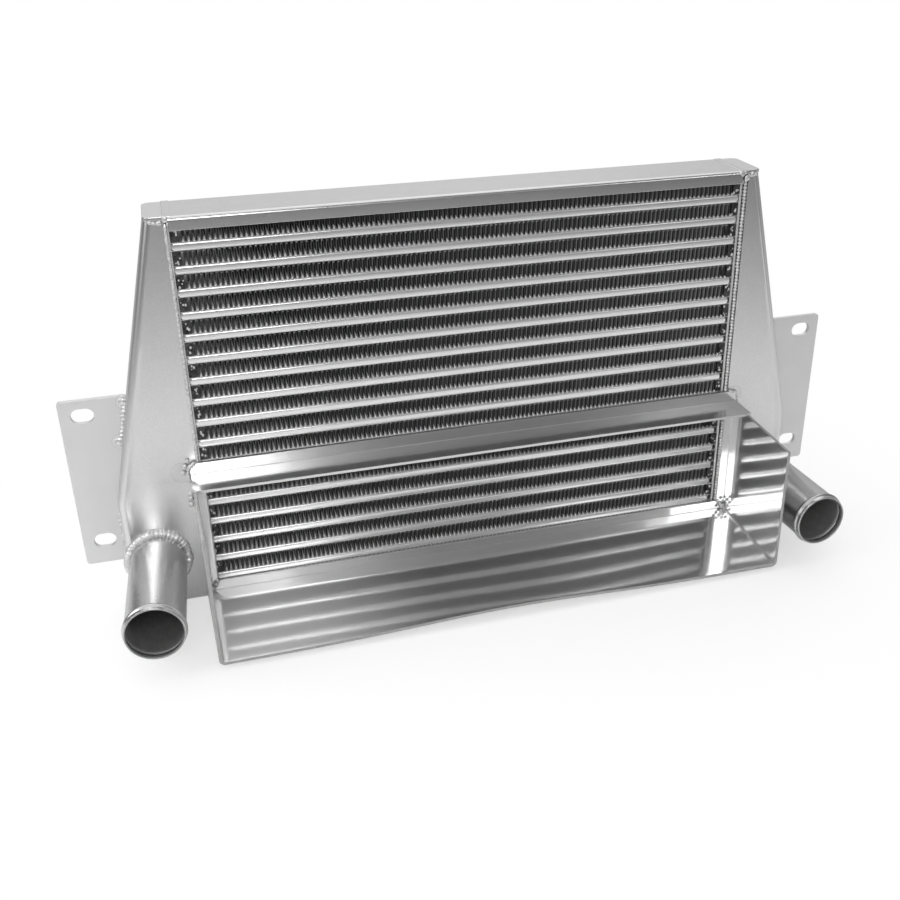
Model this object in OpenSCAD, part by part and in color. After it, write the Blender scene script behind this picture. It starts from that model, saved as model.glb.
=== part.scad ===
// Air-to-air intercooler: a brazed bar-and-plate core with a welded tank at each end, a beaded
// hose pipe on each tank, two slotted mounting plates and a folded sheet air duct in front.
// Origin: middle of the core's underside. +X to the viewer's right, +Y to the rear, +Z up.

/* [Core] */
// Width of the core between its two tanks
core_w = 450; // [300:5:600]
// Depth of the core from its front bars to its rear bars
core_d = 45; // [36:1:80]
// Height of one row of air fins
air_h = 11; // [8:0.5:14]
// Height of the bars that close one charge-air tube
tube_bar_h = 5.5; // [4:0.5:8]
// Depth of the bars that close one charge-air tube
tube_bar_d = 6; // [4:0.5:9]
// Thickness of the parting sheets
sheet_t = 0.5; // [0.4:0.1:1]
// Width of the header bars that close an air row at each end
header_bar_w = 6; // [4:0.5:10]
// How far the header bars stand back from the tube bars, front and rear
header_setback = 1; // [0.5:0.25:3]
// Thickness of the plate under the core
bottom_plate_t = 3; // [2:0.5:6]
// Thickness of the plate on top of the core
top_plate_t = 6; // [3:0.5:10]

/* [Fins] */
// Length of one wave of an air fin
fin_pitch = 12; // [10:0.5:24]
// Thickness of the air fin sheet
fin_t = 0.3; // [0.2:0.05:0.6]
// How far the air fins stand back from the tube bars, front and rear
fin_setback = 1.5; // [0.5:0.25:4]
// Length of one wave of the fins inside the charge-air tubes
turbulator_pitch = 5.5; // [4:0.5:11]
// Thickness of the fin sheet inside the charge-air tubes
turbulator_t = 0.3; // [0.2:0.05:0.5]
// Gap that the braze fills round a fin
braze_gap = 0.05; // [0.02:0.01:0.1]

/* [Top channel] */
// Thickness of the folded channel's sheet
channel_t = 2.5; // [1.5:0.5:4]
// Outer bend radius of the folded channel
channel_bend_r = 4; // [3:0.5:6]
// Height of the channel's legs, outside
channel_leg_h = 10.2; // [9:0.2:16]

/* [Tanks] */
// Thickness of the tank sheet
tank_t = 3; // [2:0.5:4]
// Outer bend radius along a tank's outer edges
tank_bend_r = 4; // [3:0.5:8]
// How far a tank stands out from the core at its top
tank_top_w = 16.6; // [12:0.2:40]
// How far a tank stands out from the core at its foot
tank_foot_w = 66.7; // [60:0.1:110]
// Height of the upright part of a tank's outer wall
tank_upright_h = 96.5; // [80:0.5:150]

/* [Hose pipes] */
// Outer diameter of a pipe
pipe_od = 44.5; // [32:0.5:50]
// Wall of a pipe
pipe_wall = 1.5; // [1:0.25:3]
// Length of a pipe's axis in front of its tank
pipe_len = 103.5; // [60:0.5:160]
// Angle by which a pipe splays outwards
pipe_splay = 2.9; // [0:0.1:8]
// Distance from a tank's outer wall to the side of its pipe
pipe_edge = 1.75; // [1:0.25:8]
// Height of the underside of a pipe above the tank's foot
pipe_foot = 20.5; // [10:0.5:40]
// Height of the rolled bead above the pipe's surface
bead_h = 1.2; // [0.6:0.1:2.5]
// Radius of the roller that formed the bead
bead_r = 3; // [2.5:0.1:5]
// Distance from the mouth to the middle of the bead
bead_setback = 5; // [4:0.5:15]

/* [Mounting plates] */
// Thickness of a mounting plate
mount_t = 4; // [3:0.5:8]
// Height of a mounting plate
mount_h = 143.2; // [136:0.2:170]
// Height of a mounting plate's lower edge above the tank's foot
mount_foot = 38.4; // [20:0.2:80]
// How far a mounting plate stands out from the tank's foot
mount_reach = 32; // [28:1:60]
// How far a mounting plate's front face stands back from the tank's front
mount_setback = 15; // [6:1:25]
// Radius of a mounting plate's outer corners
mount_corner_r = 3; // [1:0.5:8]
// Height of a slot
slot_h = 12; // [6:0.5:14]
// Length of a slot, end to end
slot_len = 17; // [15:0.5:22]
// Distance from a slot's centre to the plate's outer edge
slot_edge = 17; // [13:0.5:19]
// Distance from the upper slot's centre to the plate's upper edge
slot_top = 13; // [10:0.5:16]
// Distance between the two slots of a plate
slot_spacing = 110; // [80:1:113]

/* [Air duct] */
// Thickness of the duct's sheet
duct_t = 2.5; // [1.5:0.5:3]
// Outer bend radius between the duct's floor and sides
duct_bend_r = 3.5; // [3:0.5:6]
// How far the duct's side walls stand out beyond the core's ends
duct_reach = 11.5; // [8:0.5:15]
// Depth of the duct in front of the core
duct_d = 102.2; // [60:0.2:160]
// How far the duct sits to the right of the core's middle
duct_shift = 2.5; // [-6:0.5:6]
// Height of the duct's underside above the core's underside
duct_foot = 3.7; // [1:0.1:8]
// Height of the duct's side walls, outside
duct_h = 109.3; // [80:0.1:160]
// Width of the flanges by which the side walls are welded to the tanks
side_flange_w = 10; // [8:0.5:16]
// Height of the flange by which the floor is welded to the core
floor_flange_h = 10.8; // [8:0.2:16]
// Height by which the floor's front edge is bowed upwards in its middle
floor_bow = 5.4; // [0:0.2:10]
// Distance from the middle at which the bow has fallen to a third
floor_bow_w = 106; // [60:2:160]
// Height of the upright leg of the strip above the duct, outside
strip_leg_h = 12.1; // [8:0.1:20]
// Depth of the strip's shelf in front of the core
strip_shelf_d = 30.5; // [15:0.5:50]
// Outer bend radius of the strip
strip_bend_r = 3; // [3:0.5:6]

/* [Hidden] */

$fn = 64;
left = -1;
right = 1;

// Rows of the core, counted from the bottom: air rows and tubes alternate, an air row at each end
air_rows = 18;
tube_rows = air_rows - 1;
tube_h = tube_bar_h + 2 * sheet_t;
row_pitch = air_h + tube_h;
stack_top = bottom_plate_t + air_rows * air_h + tube_rows * tube_h;
core_h = stack_top + top_plate_t + channel_t;
core_front = -core_d / 2;
function air_z(row) = bottom_plate_t + row * row_pitch;
function tube_z(row) = air_z(row) + air_h;

// Tanks
bend_flats = 8;
tank_half = core_w / 2 + tank_foot_w;
tank_lean = atan((tank_foot_w - tank_top_w) / (core_h - tank_upright_h));

// Pipes: the axis meets the tank's front face here
pipe_x = tank_half - pipe_edge - pipe_od / 2;
pipe_z = pipe_foot + pipe_od / 2;
pipe_bore_r = pipe_od / 2 - pipe_wall;

// Mounting plates
mount_half = tank_half + mount_reach;
mount_front = core_front + mount_setback;

// Duct
duct_half = core_w / 2 + duct_reach;
duct_back = core_front - duct_t;
duct_front = core_front - duct_d;
duct_top = duct_foot + duct_h;
floor_half = duct_half - duct_bend_r;
floor_cells = 32;

// One sheet folded into waves, seen along the folds, from x = 0 to length and y = 0 to height
module wave_sheet(length, height, pitch, thickness) {
    folds = 2 * max(2, round(length / pitch));
    step = length / folds;
    rise = height / step;
    cut = min(thickness * sqrt(1 + rise * rise), height / 2);
    line = [for (i = [0 : folds]) [i * step, (i % 2) * (height - cut)]];
    polygon(concat(
        line,
        [for (i = [folds : -1 : 0]) [line[i].x, line[i].y + cut]]
    ));
}

// A block of the given height, across the whole core, with its lower face at z
module core_slab(z, height, setback = 0) {
    translate([-core_w / 2, core_front + setback, z])
        cube([core_w, core_d - 2 * setback, height]);
}

// What is drawn for the right side is drawn as it is or mirrored
module on_side(side) {
    if (side == right) children();
    else mirror([1, 0, 0]) children();
}

// Core

module core_bottom_plate() {
    color("silver") core_slab(0, bottom_plate_t);
}

// Profile of the folded channel across the core, or of the space under it
module channel_profile(inset) {
    top = core_h - inset;
    half = core_d / 2 + channel_t - inset;
    r = max(channel_bend_r - inset, 0.3);
    low = core_h - channel_leg_h - inset;
    translate([-half, low]) square([2 * half, top - r - low]);
    translate([-half + r, low]) square([2 * half - 2 * r, top - low]);
    for (side = [left, right])
        translate([side * (half - r), top - r]) circle(r);
}

module along_core() {
    translate([-core_w / 2, 0, 0]) rotate([90, 0, 90]) linear_extrude(core_w) children();
}

module core_top_plate() {
    color("silver") intersection() {
        core_slab(stack_top, top_plate_t);
        along_core() channel_profile(channel_t);
    }
}

module top_channel() {
    color("gainsboro") along_core() difference() {
        channel_profile(0);
        channel_profile(channel_t);
    }
}

module parting_sheets() {
    color("silver") for (row = [0 : tube_rows - 1]) {
        core_slab(tube_z(row), sheet_t);
        core_slab(tube_z(row) + sheet_t + tube_bar_h, sheet_t);
    }
}

module tube_bars(side) {
    color("whitesmoke") for (row = [0 : tube_rows - 1])
        translate([
            -core_w / 2,
            side == left ? core_front : -core_front - tube_bar_d,
            tube_z(row) + sheet_t
        ]) cube([core_w, tube_bar_d, tube_bar_h]);
}

module front_tube_bars() { tube_bars(left); }
module rear_tube_bars() { tube_bars(right); }

module header_bars(side) {
    color("gainsboro") on_side(side) for (row = [0 : air_rows - 1])
        translate([core_w / 2 - header_bar_w, core_front + header_setback, air_z(row)])
            cube([header_bar_w, core_d - 2 * header_setback, air_h]);
}

module left_header_bars() { header_bars(left); }
module right_header_bars() { header_bars(right); }

// Fins between the front and rear bars of each tube, open towards the tanks
module charge_turbulators() {
    depth = core_d - 2 * (tube_bar_d + braze_gap);
    color("darkgray") for (row = [0 : tube_rows - 1])
        translate([-core_w / 2, -depth / 2, tube_z(row) + sheet_t + braze_gap])
            rotate([90, 0, 90]) linear_extrude(core_w)
                wave_sheet(depth, tube_bar_h - 2 * braze_gap, turbulator_pitch, turbulator_t);
}

// Fins between the header bars of one air row, open towards the front and the rear
module fin_row(row) {
    length = core_w - 2 * (header_bar_w + braze_gap);
    depth = core_d - 2 * fin_setback;
    color("dimgray") translate([-length / 2, depth / 2, air_z(row) + braze_gap])
        rotate([90, 0, 0]) linear_extrude(depth)
            wave_sheet(length, air_h - 2 * braze_gap, fin_pitch, fin_t);
}

// Tanks

// Plan of a tank whose outer wall is at x = wall, or of the space inside it, from the rear to
// the front. The bends are drawn as narrow flats
function tank_plan(wall, inset) =
    let (
        half = core_d / 2 - inset,
        r = max(tank_bend_r - inset, 0.3),
        rear = [
            for (i = [0 : bend_flats]) let (turn = 90 * i / bend_flats)
                [wall - r + r * sin(turn), half - r + r * cos(turn)]
        ]
    ) concat(
        [[0, half]], rear,
        [for (i = [bend_flats : -1 : 0]) [rear[i].x, -rear[i].y]],
        [[0, -half]]
    );

// The outer wall is upright up to the kink and leans inwards above it. The form runs past both
// ends of the tank, and inwards to the middle of the core
module tank_form(inset) {
    overrun = 1;
    high = core_h + overrun;
    levels = [
        [-overrun, tank_half - inset],
        [tank_upright_h - inset * tan(tank_lean / 2), tank_half - inset],
        [high, tank_half - (high - tank_upright_h) * tan(tank_lean) - inset / cos(tank_lean)]
    ];
    count = len(tank_plan(0, 0));
    polyhedron(
        [for (level = levels) for (spot = tank_plan(level[1], inset)) [spot.x, spot.y, level[0]]],
        concat(
            [[for (i = [count - 1 : -1 : 0]) i]],
            [for (step = [0, count]) for (i = [0 : count - 1]) let (next = (i + 1) % count)
                [step + next, step + count + next, step + count + i, step + i]],
            [[for (i = [0 : count - 1]) 2 * count + i]]
        )
    );
}

// The part of a tank's form that is outside the core, between two heights
module tank_slice(low, high) {
    intersection() {
        tank_form(0);
        translate([core_w / 2, -core_d, low]) cube([2 * tank_foot_w, 2 * core_d, high - low]);
    }
}

module tank_shell(side) {
    color("lightgray") on_side(side) difference() {
        tank_slice(tank_t, core_h - tank_t);
        tank_form(tank_t);
        pipe_axis() cylinder(r = pipe_bore_r, h = core_d, center = true);
    }
}

module left_tank_shell() { tank_shell(left); }
module right_tank_shell() { tank_shell(right); }

module left_tank_top_cap() {
    color("lightgray") on_side(left) tank_slice(core_h - tank_t, core_h);
}

module right_tank_top_cap() {
    color("lightgray") on_side(right) tank_slice(core_h - tank_t, core_h);
}

module left_tank_bottom_cap() {
    color("lightgray") on_side(left) tank_slice(0, tank_t);
}

module right_tank_bottom_cap() {
    color("lightgray") on_side(right) tank_slice(0, tank_t);
}

// Hose pipes

// +Z along the right pipe's axis, towards its mouth, from the tank's front face
module pipe_axis() {
    translate([pipe_x, core_front, pipe_z]) rotate([90, 0, pipe_splay]) children();
}

module bead_ring(radius) {
    translate([0, 0, pipe_len - bead_setback])
        rotate_extrude() translate([pipe_od / 2 + bead_h - bead_r, 0]) circle(radius);
}

module hose_pipe(side) {
    color("silver") on_side(side) difference() {
        pipe_axis() difference() {
            union() {
                translate([0, 0, -core_d / 2]) cylinder(d = pipe_od, h = pipe_len + core_d / 2);
                bead_ring(bead_r);
            }
            cylinder(r = pipe_bore_r, h = 3 * pipe_len, center = true);
            bead_ring(bead_r - pipe_wall);
        }
        tank_slice(0, core_h);
    }
}

module left_hose_pipe() { hose_pipe(left); }
module right_hose_pipe() { hose_pipe(right); }

// Mounting plates

module slot() {
    for (end = [left, right])
        translate([end * (slot_len - slot_h) / 2, 0]) circle(d = slot_h);
    square([slot_len - slot_h, slot_h], center = true);
}

// Outline seen from the front, from the core's side to the outer edge
module mount_outline() {
    difference() {
        union() {
            translate([core_w / 2, mount_corner_r])
                square([mount_half - core_w / 2, mount_h - 2 * mount_corner_r]);
            translate([core_w / 2, 0])
                square([mount_half - core_w / 2 - mount_corner_r, mount_h]);
            for (z = [mount_corner_r, mount_h - mount_corner_r])
                translate([mount_half - mount_corner_r, z]) circle(mount_corner_r);
        }
        for (drop = [slot_top, slot_top + slot_spacing])
            translate([mount_half - slot_edge, mount_h - drop]) slot();
    }
}

module mount_plate(side) {
    color("lightgray") on_side(side) difference() {
        translate([0, mount_front + mount_t, mount_foot])
            rotate([90, 0, 0]) linear_extrude(mount_t) mount_outline();
        tank_slice(0, core_h);
    }
}

module left_mount_plate() { mount_plate(left); }
module right_mount_plate() { mount_plate(right); }

// Air duct

// Right half of the duct's section seen from the front, or of the space inside it
module duct_section(inset) {
    r = max(duct_bend_r - inset, 0.3);
    corner = [duct_half - inset - r, duct_foot + inset + r];
    translate([0, corner.y]) square([corner.x + r, duct_top - corner.y]);
    translate([0, corner.y - r]) square([corner.x, duct_top - corner.y + r]);
    translate(corner) circle(r);
}

// A side wall with its bend to the floor
module duct_side_profile() {
    difference() {
        duct_section(0);
        duct_section(duct_t);
        translate([-1, 0]) square([floor_half + 1, duct_top]);
    }
}

// The flanges along the floor and the side wall, welded together at the corner
module duct_flange_profile() {
    difference() {
        duct_section(0);
        translate([-1, duct_foot + floor_flange_h])
            square([duct_half - side_flange_w + 1, duct_h]);
    }
}

// Lift of the floor at x, at the front edge
function bow_shape(x) = exp(-pow(x / floor_bow_w, 2));
function bow_lift(x) =
    floor_bow * (bow_shape(x) - bow_shape(floor_half)) / (1 - bow_shape(floor_half));

// The floor in front of its flange: straight at the back, bowed upwards at the front edge
module duct_floor() {
    columns = floor_cells + 1;
    xs = [for (i = [0 : floor_cells]) floor_half * (2 * i / floor_cells - 1)];
    points = concat(
        [for (x = xs) [x, duct_front, duct_foot + bow_lift(x)]],
        [for (x = xs) [x, duct_back, duct_foot]],
        [for (x = xs) [x, duct_back, duct_foot + duct_t]],
        [for (x = xs) [x, duct_front, duct_foot + duct_t + bow_lift(x)]]
    );
    // Each of the four long faces is a band of cells, two triangles to a cell
    cells = [
        for (band = [0 : 3], i = [0 : floor_cells - 1])
            [band * columns + i, ((band + 1) % 4) * columns + i]
    ];
    polyhedron(points, concat(
        [for (cell = cells) [cell[0], cell[1] + 1, cell[1]]],
        [for (cell = cells) [cell[0], cell[0] + 1, cell[1] + 1]],
        [[for (band = [0 : 3]) band * columns]],
        [[for (band = [3 : -1 : 0]) band * columns + floor_cells]]
    ));
}

// The tray is folded from one sheet: floor, two sides and the flanges that are welded on
module duct_tray() {
    color("gainsboro") translate([duct_shift, 0, 0]) {
        duct_floor();
        for (side = [left, right]) on_side(side)
            translate([0, core_front, 0]) rotate([90, 0, 0]) {
                linear_extrude(duct_d) duct_side_profile();
                linear_extrude(duct_t) duct_flange_profile();
            }
    }
}

// Angle strip above the duct: a leg up the core's face and a shelf towards the front
module duct_top_strip() {
    inner_r = max(strip_bend_r - duct_t, 0.3);
    color("gainsboro") difference() {
        translate([duct_shift - duct_half, 0, duct_top])
            rotate([90, 0, 90]) linear_extrude(2 * duct_half) {
                translate([duct_back, strip_bend_r])
                    square([duct_t, strip_leg_h - strip_bend_r]);
                translate([core_front - strip_shelf_d, 0])
                    square([strip_shelf_d - strip_bend_r, duct_t]);
                intersection() {
                    translate([core_front - strip_bend_r, strip_bend_r]) difference() {
                        circle(strip_bend_r);
                        circle(inner_r);
                    }
                    translate([core_front - strip_bend_r, 0]) square(strip_bend_r);
                }
            }
        // The ends of the leg are cut back to the core's corners
        for (side = [left, right]) on_side(side)
            translate([0, core_front + duct_t, duct_top]) rotate([90, 0, 0])
                linear_extrude(strip_shelf_d) polygon([
                    [duct_half + side * duct_shift, strip_bend_r],
                    [core_w / 2, strip_leg_h],
                    [core_w / 2, strip_leg_h + duct_half],
                    [2 * duct_half, strip_bend_r]
                ]);
    }
}

core_bottom_plate();
core_top_plate();
top_channel();
parting_sheets();
front_tube_bars();
rear_tube_bars();
left_header_bars();
right_header_bars();
charge_turbulators();
fin_row(0);  // fin_row_01
fin_row(1);  // fin_row_02
fin_row(2);  // fin_row_03
fin_row(3);  // fin_row_04
fin_row(4);  // fin_row_05
fin_row(5);  // fin_row_06
fin_row(6);  // fin_row_07
fin_row(7);  // fin_row_08
fin_row(8);  // fin_row_09
fin_row(9);  // fin_row_10
fin_row(10);  // fin_row_11
fin_row(11);  // fin_row_12
fin_row(12);  // fin_row_13
fin_row(13);  // fin_row_14
fin_row(14);  // fin_row_15
fin_row(15);  // fin_row_16
fin_row(16);  // fin_row_17
fin_row(17);  // fin_row_18
left_tank_shell();
right_tank_shell();
left_tank_top_cap();
right_tank_top_cap();
left_tank_bottom_cap();
right_tank_bottom_cap();
left_hose_pipe();
right_hose_pipe();
left_mount_plate();
right_mount_plate();
duct_tray();
duct_top_strip();
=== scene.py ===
# Bar-and-plate intercooler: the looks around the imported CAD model
import math
import random

import bmesh
import bpy
from mathutils import Matrix, Vector, noise


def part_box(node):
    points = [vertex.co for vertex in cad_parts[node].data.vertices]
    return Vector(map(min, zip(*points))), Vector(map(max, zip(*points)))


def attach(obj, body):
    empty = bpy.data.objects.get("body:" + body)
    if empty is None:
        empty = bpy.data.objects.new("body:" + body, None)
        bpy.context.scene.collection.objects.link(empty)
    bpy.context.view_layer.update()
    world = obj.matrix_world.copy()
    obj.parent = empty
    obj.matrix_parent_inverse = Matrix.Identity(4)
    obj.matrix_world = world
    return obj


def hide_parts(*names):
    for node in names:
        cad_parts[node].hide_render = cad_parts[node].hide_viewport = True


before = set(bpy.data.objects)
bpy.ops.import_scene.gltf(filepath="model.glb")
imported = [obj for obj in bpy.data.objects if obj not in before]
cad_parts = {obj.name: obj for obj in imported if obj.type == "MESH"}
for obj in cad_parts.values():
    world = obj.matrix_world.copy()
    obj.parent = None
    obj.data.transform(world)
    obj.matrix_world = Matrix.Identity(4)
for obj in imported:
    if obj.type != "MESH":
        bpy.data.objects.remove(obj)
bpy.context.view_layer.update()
print("frame loaded:", len(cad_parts), "nodes")

mm = 0.001
sides = {"left": -1, "right": 1}


# sRGB hex to the linear colour that the shaders use
def linearColor(hexCode):
    channels = [int(hexCode[i:i + 2], 16) / 255 for i in (1, 3, 5)]
    return [c / 12.92 if c <= 0.04045 else ((c + 0.055) / 1.055) ** 2.4 for c in channels] + [1]


# Adds a node: inputs are numbers, colours or the sockets to link from, the rest are its settings.
# Inputs 2 and 3 of a Mix node are its two numbers, 6 and 7 its two colours
def addNode(tree, kind, inputs=None, **settings):
    node = tree.nodes.new(kind)
    for name, value in settings.items():
        setattr(node, name, value)
    for name, value in (inputs or {}).items():
        if isinstance(value, bpy.types.NodeSocket):
            tree.links.new(value, node.inputs[name])
        else:
            node.inputs[name].default_value = value
    return node


# Scale of a noise whose grains are this many millimetres across
def grainScale(size):
    return 1000 / size


# Inputs of a Map Range node, limits being from, to and what they become
def ranged(value, limits):
    return {"Value": value, "From Min": limits[0], "From Max": limits[1],
            "To Min": limits[2], "To Max": limits[3]}


# A bare aluminium finish. grain is (size in mm, stretch along x, y, z), cloud (size in mm, share),
# and bump the height of the grain in mm. Below 1, metallic leaves a share of pale bloom that
# scatters light evenly. The pale highlight colour is painted on matte faces that look up or down,
# marks are (place, radius) in mm, and haze is the share and roughness of a second, wider shine.
# dull is (x from, x to in mm, metallic where it starts)
def aluminium(name, color, darkColor, roughness, grain, cloud, bump, metallic=1.0, paintedFoldHighlight=None,
              marks=(), haze=None, dull=None):
    material = bpy.data.materials.new(name)
    material.use_nodes = True
    tree = material.node_tree
    tree.nodes.clear()
    place = addNode(tree, "ShaderNodeTexCoord").outputs["Object"]
    stretched = addNode(tree, "ShaderNodeMapping", {"Vector": place, "Scale": grain[1]})
    fine = addNode(tree, "ShaderNodeTexNoise", {
        "Vector": stretched.outputs["Vector"], "Scale": grainScale(grain[0]),
        "Detail": 4, "Roughness": 0.6})
    soft = addNode(tree, "ShaderNodeTexNoise", {
        "Vector": place, "Scale": grainScale(cloud[0]), "Detail": 3, "Roughness": 0.5})
    clouds = addNode(tree, "ShaderNodeMath", {0: soft.outputs["Fac"], 1: cloud[1]},
                     operation="MULTIPLY")
    both = addNode(tree, "ShaderNodeMath", {0: fine.outputs["Fac"], 1: clouds.outputs[0]},
                   operation="ADD")
    middle = 0.5 + 0.5 * cloud[1]
    shade = addNode(tree, "ShaderNodeMapRange", ranged(
        both.outputs[0], (middle - 0.25, middle + 0.25, 0.0, 1.0)))
    tone = addNode(tree, "ShaderNodeMix", {
        "Factor": shade.outputs["Result"], 6: linearColor(darkColor), 7: linearColor(color)},
        data_type="RGBA").outputs[2]
    # painted highlight: faces that look up or down turn pale and matte
    if paintedFoldHighlight:
        facing = addNode(tree, "ShaderNodeSeparateXYZ", {
            "Vector": addNode(tree, "ShaderNodeNewGeometry").outputs["Normal"]})
        level = addNode(tree, "ShaderNodeMath", {0: facing.outputs["Z"]}, operation="ABSOLUTE")
        foldHighlightShare = addNode(tree, "ShaderNodeMapRange", ranged(
            level.outputs[0], (0.2, 0.6, 0.0, 1.0))).outputs["Result"]
        tone = addNode(tree, "ShaderNodeMix", {
            "Factor": foldHighlightShare, 6: tone, 7: linearColor(paintedFoldHighlight)}, data_type="RGBA").outputs[2]
        metallic = addNode(tree, "ShaderNodeMapRange", ranged(
            foldHighlightShare, (0.0, 1.0, metallic, 0.1))).outputs["Result"]
    gloss = addNode(tree, "ShaderNodeMapRange", ranged(
        both.outputs[0], (middle - 0.3, middle + 0.3, roughness[1], roughness[0])))
    glossValue = gloss.outputs["Result"]
    for center, radius in marks:
        away = addNode(tree, "ShaderNodeVectorMath", {0: place, 1: Vector(center) * mm},
                       operation="DISTANCE")
        ragged = addNode(tree, "ShaderNodeMath", {
            0: soft.outputs["Fac"], 1: 0.25 * radius * mm, 2: away.outputs["Value"]},
            operation="MULTIPLY_ADD")
        inside = addNode(tree, "ShaderNodeMapRange", ranged(
            ragged.outputs[0], (radius * mm, 1.12 * radius * mm, 1.0, 0.0)),
            interpolation_type="SMOOTHSTEP").outputs["Result"]
        outside = addNode(tree, "ShaderNodeMath", {0: 1.0, 1: inside}, operation="SUBTRACT")
        rim = addNode(tree, "ShaderNodeMath", {0: inside, 1: outside.outputs[0]},
                      operation="MULTIPLY")
        half = addNode(tree, "ShaderNodeMath", {0: inside, 1: 0.5}, operation="MULTIPLY")
        pale = addNode(tree, "ShaderNodeMix", {
            "Factor": half.outputs[0], 6: tone, 7: linearColor("#F2F2F2")},
            data_type="RGBA").outputs[2]
        tone = addNode(tree, "ShaderNodeMix", {
            "Factor": rim.outputs[0], 6: pale, 7: linearColor("#4B4B4B")},
            data_type="RGBA").outputs[2]
        glossValue = addNode(tree, "ShaderNodeMath", {0: inside, 1: 0.16, 2: glossValue},
                             operation="MULTIPLY_ADD").outputs[0]
    relief = addNode(tree, "ShaderNodeBump", {
        "Height": fine.outputs["Fac"], "Distance": bump * mm, "Strength": 1.0})
    if dull:
        across = addNode(tree, "ShaderNodeSeparateXYZ", {"Vector": place})
        metallic = addNode(tree, "ShaderNodeMapRange", ranged(
            across.outputs["X"], (dull[0] * mm, dull[1] * mm, dull[2], metallic)),
            interpolation_type="SMOOTHSTEP").outputs["Result"]
    finish = {"Base Color": tone, "Metallic": metallic, "Roughness": glossValue,
              "Normal": relief.outputs["Normal"]}
    surface = addNode(tree, "ShaderNodeBsdfPrincipled", finish).outputs["BSDF"]
    if haze:
        finish["Roughness"] = haze[1]
        wide = addNode(tree, "ShaderNodeBsdfPrincipled", finish).outputs["BSDF"]
        surface = addNode(tree, "ShaderNodeMixShader", {
            "Fac": haze[0], 1: surface, 2: wide}).outputs["Shader"]
    addNode(tree, "ShaderNodeOutputMaterial", {"Surface": surface})
    return material


# Heat marks of welding: place in mm, radius in mm. The metal inside is pale and dull
tankMarks = (((-240, -22.5, 117), 9), ((238, -22.5, 122), 7), ((-246, -22.5, 45), 6))
plateMarks = (((-275.5, -7.5, 176.5), 6), ((-282.5, -7.5, 144), 6.5), ((276, -7.5, 176), 5))
# Rolled 5052 sheet with its mill finish: a long soft grain that blurs what it mirrors
channelSheet = aluminium("milledAluminiumChannel", "#D9D9D9", "#CFCFCF", (0.20, 0.28),
                         (0.6, (0.03, 1, 1)), (14, 0.5), 0.003, 0.95)
# The tanks are sanded after welding: a fine cloudy grain without direction
tankSheet = aluminium("sandedAluminiumTank", "#E0E0E0", "#D1D1D1", (0.27, 0.35),
                      (0.7, (1, 1, 0.6)), (12, 0.15), 0.004, 0.97, marks=tankMarks)
# Extruded bars after the brazing furnace: satin, with a pale bloom
barStock = aluminium("brazedAluminiumBar", "#E6E6E6", "#DFDFDF", (0.17, 0.22),
                     (0.8, (0.02, 1, 1)), (25, 0.3), 0.0003, 0.72)
# Sheet edges with braze run over them: duller and grainy
brazedSheet = aluminium("brazedAluminiumSheet", "#E1E1E1", "#C7C7C7", (0.35, 0.5),
                        (0.8, (1, 1, 1)), (5, 0.5), 0.01, 0.6)
# Painted shade on the header bars: dark as the gap at the core's ends, with lighter grains of braze
paintedShadeMetal = aluminium("paintedShadeAluminium", "#5B5B5B", "#232323", (0.4, 0.6),
                       (1.4, (1, 1, 1)), (4, 1), 0.1, 0.7)
# Thin fin stock: dark walls as painted shade, pale up- and down-facing folds as painted highlight
finStock = aluminium("paintedShadeAndHighlightFin", "#6C6C6C", "#575757", (0.40, 0.55),
                     (1.0, (1, 1, 0.2)), (8, 0.5), 0.005, 0.7, "#FAFAFA")
# Blasted plate: matte and even
plateSheet = aluminium("blastedAluminiumPlate", "#E3E3E3", "#DADADA", (0.45, 0.55),
                       (0.5, (1, 1, 1)), (20, 0.3), 0.004, 0.7, marks=plateMarks)
# Drawn tube, linished: its fine scratches are drawn about 1 mm wide so that they show
tubeStock = aluminium("linishedAluminiumTube", "#D3D3D3", "#C2C2C2", (0.22, 0.29),
                      (1.2, (1, 0.1, 1)), (20, 0.15), 0.001, 1.0)
# The same tube inside, where no tool has reached: darker, as painted shade in the bore
shadedTubeBore = aluminium("shadedAluminiumBore", "#A1A1A1", "#858585", (0.35, 0.5),
                     (0.8, (1, 0.2, 1)), (8, 0.5), 0.004, 0.6)
# Polished sheet that mirrors its neighbours, with a little haze and faint drawn streaks
ductSheet = aluminium("polishedAluminiumDuct", "#E1E1E1", "#DADADA", (0.06, 0.10),
                      (0.8, (0.03, 1, 1)), (25, 0.3), 0.0001, 0.92, haze=(0.30, 0.30),
                      dull=(-225, -40, 0.30))
# Sheared edges of the sheet, left as cut
cutEdge = aluminium("shearedAluminiumEdge", "#B4B4B4", "#9A9A9A", (0.35, 0.5),
                    (0.8, (1, 1, 1)), (6, 0.5), 0.004, 0.8)
# The strip above it was not polished after bending
stripSheet = aluminium("brushedAluminiumStrip", "#D7D7D7", "#CFCFCF", (0.12, 0.18),
                       (0.6, (0.02, 1, 1)), (30, 0.5), 0.0001, 0.95, haze=(0.3, 0.34))
# Weld metal: bright ripples with duller hollows
weldMetal = aluminium("weldedAluminiumBead", "#EDEDED", "#C7C7C7", (0.32, 0.46),
                      (1.2, (1, 1, 1)), (3, 1), 0.02, 0.75)
print("materials made")
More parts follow.
